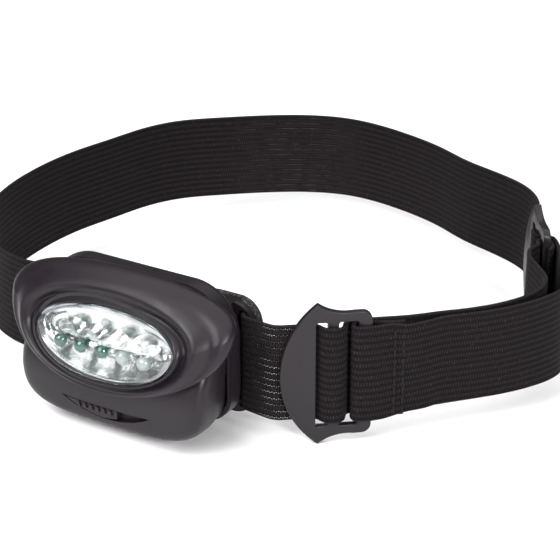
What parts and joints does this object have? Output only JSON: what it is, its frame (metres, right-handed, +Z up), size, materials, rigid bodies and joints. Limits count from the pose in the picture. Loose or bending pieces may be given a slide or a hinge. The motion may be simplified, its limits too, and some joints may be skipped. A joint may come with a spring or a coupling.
{
  "type": "headlamp",
  "caption": "Headlamp with a domed window over a row of LEDs, a slide switch, and a tilting battery case on an elastic headband with slider buckles.",
  "frame": {"origin": "centre of the forehead pad's skin-side face", "axes": "+Y from the pad into the head, -Y the way the lamp looks, +Z up, +X to the right seen from in front"},
  "size_m": [0.1909, 0.1899, 0.0496],
  "materials": {
    "housing_plastic": "satin moulded",
    "bracket_plastic": "satin moulded",
    "buckle_plastic": "fine matte",
    "slider_plastic": "matte ribbed",
    "foam": "speckled foam",
    "strap": "ribbed elastic",
    "thread": "sewing thread",
    "steel": "bright",
    "spring_steel": "nickel plated",
    "seal_rubber": "matte",
    "cell": "printed sleeve",
    "clear_lens": "clear",
    "silver_reflector": "vacuum metallised",
    "led_epoxy": "clear epoxy",
    "board": "solder mask",
    "resistor": "lacquered",
    "switch_plastic": "satin"
  },
  "bodies": {
    "headband": {"bracket": "bracket_plastic", "forehead_pad": "foam", "strap_behind_plate": "strap", "strap_left": "strap", "strap_back": "strap", "strap_outer": "strap", "strap_right": "strap", "strap_inner": "strap", "strap_stitching": "thread", "buckle_front": "buckle_plastic", "buckle_rear": "buckle_plastic", "tilt_pin": "steel"},
    "lamp_base": {"rear_tray": "housing_plastic", "battery_1": "cell", "battery_2": "cell", "battery_3": "cell", "contact_springs": "spring_steel", "left_contacts": "spring_steel", "right_contacts": "spring_steel", "opening_pin": "steel", "tray_seal": "seal_rubber"},
    "lamp_front": {"front_shell": "housing_plastic", "lens": "clear_lens", "lens_gasket": "seal_rubber", "reflector": "silver_reflector", "led_1": "led_epoxy", "led_2": "led_epoxy", "led_3": "led_epoxy", "led_4": "led_epoxy", "led_5": "led_epoxy", "circuit_board": "board", "resistors": "resistor", "switch_case": "switch_plastic", "board_screws": "steel"},
    "switch": {"switch_slider": "slider_plastic", "switch_actuator": "switch_plastic"}
  },
  "joints": [
    {"name": "lamp_tilt", "type": "hinge", "parent": "headband", "child": "lamp_base", "pos_m": [0, -0.0103, -0.014], "axis": [1, 0, 0], "range_deg": [0, 60]},
    {"name": "front_open", "type": "hinge", "parent": "lamp_base", "child": "lamp_front", "pos_m": [0, -0.01975, -0.0164], "axis": [1, 0, 0], "range_deg": [0, 85]},
    {"name": "switch_slide", "type": "slide", "parent": "lamp_front", "child": "switch", "axis": [1, 0, 0], "range_m": [0, 0.0026]}
  ]
}
